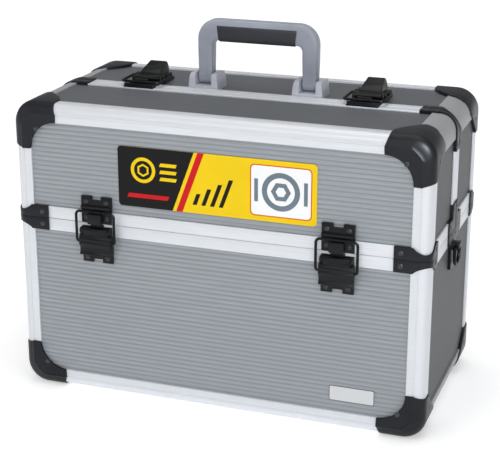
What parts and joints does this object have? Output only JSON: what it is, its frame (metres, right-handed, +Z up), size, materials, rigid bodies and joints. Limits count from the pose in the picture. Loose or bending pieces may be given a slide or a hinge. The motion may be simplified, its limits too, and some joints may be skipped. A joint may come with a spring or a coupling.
{
  "type": "tool case",
  "caption": "Aluminium-framed hard tool case with a lower body, two half-lids opening outward from the middle, bail latches, a folding top handle and stepped trays inside.",
  "frame": {"origin": "middle of the case's footprint, on the surface it stands on", "axes": "+X along the width, to the right seen from the front; +Y towards the rear; +Z up"},
  "size_m": [0.4636, 0.239, 0.3925],
  "materials": {
    "laminate": "fine-ribbed satin laminate",
    "aluminium_rail": "satin anodised",
    "cap_plastic": "moulded, slightly glossy",
    "bright_metal": "zinc plated",
    "latch_plastic": "moulded",
    "black_wire": "black coated wire",
    "badge": "satin plate",
    "mat": "foam mat",
    "label": "printed sticker",
    "handle_plastic": "satin moulded",
    "grip": "soft grip",
    "tray_plastic": "moulded"
  },
  "bodies": {
    "body": {"body_front_panel": "laminate", "body_rear_panel": "laminate", "body_side_panels": "laminate", "body_bottom_panel": "laminate", "body_edge_rails": "aluminium_rail", "body_rim_rails": "aluminium_rail", "body_corner_caps": "cap_plastic", "body_rim_caps": "cap_plastic", "body_fasteners": "bright_metal", "body_latch_bases": "latch_plastic", "strap_ring_plates": "latch_plastic", "badge_plate": "badge", "arm_brackets": "bright_metal", "floor_mat": "mat"},
    "front_lid": {"front_lid_front_panel": "laminate", "front_lid_top_panel": "laminate", "front_lid_side_panels": "laminate", "front_lid_edge_rails": "aluminium_rail", "front_lid_rim_rails": "aluminium_rail", "front_lid_corner_caps": "cap_plastic", "front_lid_seam_caps": "cap_plastic", "front_lid_keepers": "latch_plastic", "front_lid_fasteners": "bright_metal", "label": "label"},
    "rear_lid": {"rear_lid_rear_panel": "laminate", "rear_lid_top_panel": "laminate", "rear_lid_side_panels": "laminate", "rear_lid_edge_rails": "aluminium_rail", "rear_lid_rim_rails": "aluminium_rail", "rear_lid_corner_caps": "cap_plastic", "rear_lid_seam_caps": "cap_plastic", "rear_lid_keepers": "latch_plastic", "rear_lid_latch_bases": "latch_plastic", "rear_lid_fasteners": "bright_metal", "handle_brackets": "handle_plastic"},
    "handle": {"handle_frame": "handle_plastic", "handle_grip": "grip"},
    "strap_ring_right": {"strap_ring_right": "black_wire"},
    "strap_ring_left": {"strap_ring_left": "black_wire"},
    "front_left_lever": {"front_left_lever": "latch_plastic"},
    "front_left_bail": {"front_left_bail": "black_wire"},
    "front_right_lever": {"front_right_lever": "latch_plastic"},
    "front_right_bail": {"front_right_bail": "black_wire"},
    "rear_left_lever": {"rear_left_lever": "latch_plastic"},
    "rear_left_bail": {"rear_left_bail": "black_wire"},
    "rear_right_lever": {"rear_right_lever": "latch_plastic"},
    "rear_right_bail": {"rear_right_bail": "black_wire"},
    "top_left_lever": {"top_left_lever": "latch_plastic"},
    "top_left_bail": {"top_left_bail": "black_wire"},
    "top_right_lever": {"top_right_lever": "latch_plastic"},
    "top_right_bail": {"top_right_bail": "black_wire"},
    "front_arms_inner": {"front_arms_inner": "bright_metal"},
    "front_arms_outer": {"front_arms_outer": "bright_metal"},
    "front_tray_lower": {"front_tray_lower": "tray_plastic"},
    "front_tray_upper": {"front_tray_upper": "tray_plastic"},
    "rear_arms_inner": {"rear_arms_inner": "bright_metal"},
    "rear_arms_outer": {"rear_arms_outer": "bright_metal"},
    "rear_tray_lower": {"rear_tray_lower": "tray_plastic"},
    "rear_tray_upper": {"rear_tray_upper": "tray_plastic"}
  },
  "joints": [
    {"name": "front_lid_hinge", "type": "hinge", "parent": "body", "child": "front_lid", "pos_m": [0, -0.1165, 0.209], "axis": [1, 0, 0], "range_deg": [0, 100]},
    {"name": "front_arms_inner_pivot", "type": "hinge", "parent": "body", "child": "front_arms_inner", "pos_m": [0, -0.069, 0.18], "axis": [1, 0, 0], "range_deg": [0, 50]},
    {"name": "front_arms_outer_pivot", "type": "hinge", "parent": "body", "child": "front_arms_outer", "pos_m": [0, -0.086, 0.18], "axis": [1, 0, 0], "range_deg": [0, 50]},
    {"name": "front_tray_lower_pivot", "type": "hinge", "parent": "front_arms_inner", "child": "front_tray_lower", "pos_m": [0, -0.03686, 0.2183], "axis": [1, 0, 0], "range_deg": [-50, 0]},
    {"name": "front_tray_upper_pivot", "type": "hinge", "parent": "front_arms_inner", "child": "front_tray_upper", "pos_m": [0, -0.00858, 0.25201], "axis": [1, 0, 0], "range_deg": [-50, 0]},
    {"name": "rear_lid_hinge", "type": "hinge", "parent": "body", "child": "rear_lid", "pos_m": [0, 0.1165, 0.209], "axis": [-1, 0, 0], "range_deg": [0, 100]},
    {"name": "rear_arms_inner_pivot", "type": "hinge", "parent": "body", "child": "rear_arms_inner", "pos_m": [0, 0.069, 0.18], "axis": [-1, 0, 0], "range_deg": [0, 50]},
    {"name": "rear_arms_outer_pivot", "type": "hinge", "parent": "body", "child": "rear_arms_outer", "pos_m": [0, 0.086, 0.18], "axis": [-1, 0, 0], "range_deg": [0, 50]},
    {"name": "rear_tray_lower_pivot", "type": "hinge", "parent": "rear_arms_inner", "child": "rear_tray_lower", "pos_m": [0, 0.03686, 0.2183], "axis": [-1, 0, 0], "range_deg": [-50, 0]},
    {"name": "rear_tray_upper_pivot", "type": "hinge", "parent": "rear_arms_inner", "child": "rear_tray_upper", "pos_m": [0, 0.00858, 0.25201], "axis": [-1, 0, 0], "range_deg": [-50, 0]},
    {"name": "front_left_lever_pivot", "type": "hinge", "parent": "body", "child": "front_left_lever", "pos_m": [-0.131, -0.116, 0.188], "axis": [-1, 0, 0], "range_deg": [0, 110]},
    {"name": "front_left_bail_pivot", "type": "hinge", "parent": "front_left_lever", "child": "front_left_bail", "pos_m": [-0.131, -0.1165, 0.176], "axis": [-1, 0, 0], "range_deg": [-209, 0]},
    {"name": "front_right_lever_pivot", "type": "hinge", "parent": "body", "child": "front_right_lever", "pos_m": [0.131, -0.116, 0.188], "axis": [-1, 0, 0], "range_deg": [0, 110]},
    {"name": "front_right_bail_pivot", "type": "hinge", "parent": "front_right_lever", "child": "front_right_bail", "pos_m": [0.131, -0.1165, 0.176], "axis": [-1, 0, 0], "range_deg": [-209, 0]},
    {"name": "rear_left_lever_pivot", "type": "hinge", "parent": "body", "child": "rear_left_lever", "pos_m": [-0.131, 0.116, 0.188], "axis": [1, 0, 0], "range_deg": [0, 110]},
    {"name": "rear_left_bail_pivot", "type": "hinge", "parent": "rear_left_lever", "child": "rear_left_bail", "pos_m": [-0.131, 0.1165, 0.176], "axis": [1, 0, 0], "range_deg": [-209, 0]},
    {"name": "rear_right_lever_pivot", "type": "hinge", "parent": "body", "child": "rear_right_lever", "pos_m": [0.131, 0.116, 0.188], "axis": [1, 0, 0], "range_deg": [0, 110]},
    {"name": "rear_right_bail_pivot", "type": "hinge", "parent": "rear_right_lever", "child": "rear_right_bail", "pos_m": [0.131, 0.1165, 0.176], "axis": [1, 0, 0], "range_deg": [-209, 0]},
    {"name": "top_left_lever_pivot", "type": "hinge", "parent": "rear_lid", "child": "top_left_lever", "pos_m": [-0.125, 0.015, 0.3235], "axis": [1, 0, 0], "range_deg": [0, 110]},
    {"name": "top_left_bail_pivot", "type": "hinge", "parent": "top_left_lever", "child": "top_left_bail", "pos_m": [-0.125, 0.027, 0.324], "axis": [1, 0, 0], "range_deg": [-209, 0]},
    {"name": "top_right_lever_pivot", "type": "hinge", "parent": "rear_lid", "child": "top_right_lever", "pos_m": [0.125, 0.015, 0.3235], "axis": [1, 0, 0], "range_deg": [0, 110]},
    {"name": "top_right_bail_pivot", "type": "hinge", "parent": "top_right_lever", "child": "top_right_bail", "pos_m": [0.125, 0.027, 0.324], "axis": [1, 0, 0], "range_deg": [-209, 0]},
    {"name": "handle_fold", "type": "hinge", "parent": "rear_lid", "child": "handle", "pos_m": [0, 0.026, 0.329], "axis": [-1, 0, 0], "range_deg": [0, 88]},
    {"name": "strap_ring_right_swing", "type": "hinge", "parent": "body", "child": "strap_ring_right", "pos_m": [0.2285, 0, 0.176], "axis": [0, -1, 0], "range_deg": [0, 140]},
    {"name": "strap_ring_left_swing", "type": "hinge", "parent": "body", "child": "strap_ring_left", "pos_m": [-0.2285, 0, 0.176], "axis": [0, 1, 0], "range_deg": [0, 140]}
  ],
  "couplings": [
    {"joint": "front_arms_inner_pivot", "follows": "front_lid_hinge", "ratio": 0.5},
    {"joint": "front_arms_outer_pivot", "follows": "front_lid_hinge", "ratio": 0.5},
    {"joint": "front_tray_lower_pivot", "follows": "front_lid_hinge", "ratio": -0.5},
    {"joint": "front_tray_upper_pivot", "follows": "front_lid_hinge", "ratio": -0.5},
    {"joint": "rear_arms_inner_pivot", "follows": "rear_lid_hinge", "ratio": 0.5},
    {"joint": "rear_arms_outer_pivot", "follows": "rear_lid_hinge", "ratio": 0.5},
    {"joint": "rear_tray_lower_pivot", "follows": "rear_lid_hinge", "ratio": -0.5},
    {"joint": "rear_tray_upper_pivot", "follows": "rear_lid_hinge", "ratio": -0.5},
    {"joint": "front_left_bail_pivot", "follows": "front_left_lever_pivot", "ratio": -1.9},
    {"joint": "front_right_bail_pivot", "follows": "front_right_lever_pivot", "ratio": -1.9},
    {"joint": "rear_left_bail_pivot", "follows": "rear_left_lever_pivot", "ratio": -1.9},
    {"joint": "rear_right_bail_pivot", "follows": "rear_right_lever_pivot", "ratio": -1.9},
    {"joint": "top_left_bail_pivot", "follows": "top_left_lever_pivot", "ratio": -1.9},
    {"joint": "top_right_bail_pivot", "follows": "top_right_lever_pivot", "ratio": -1.9}
  ]
}
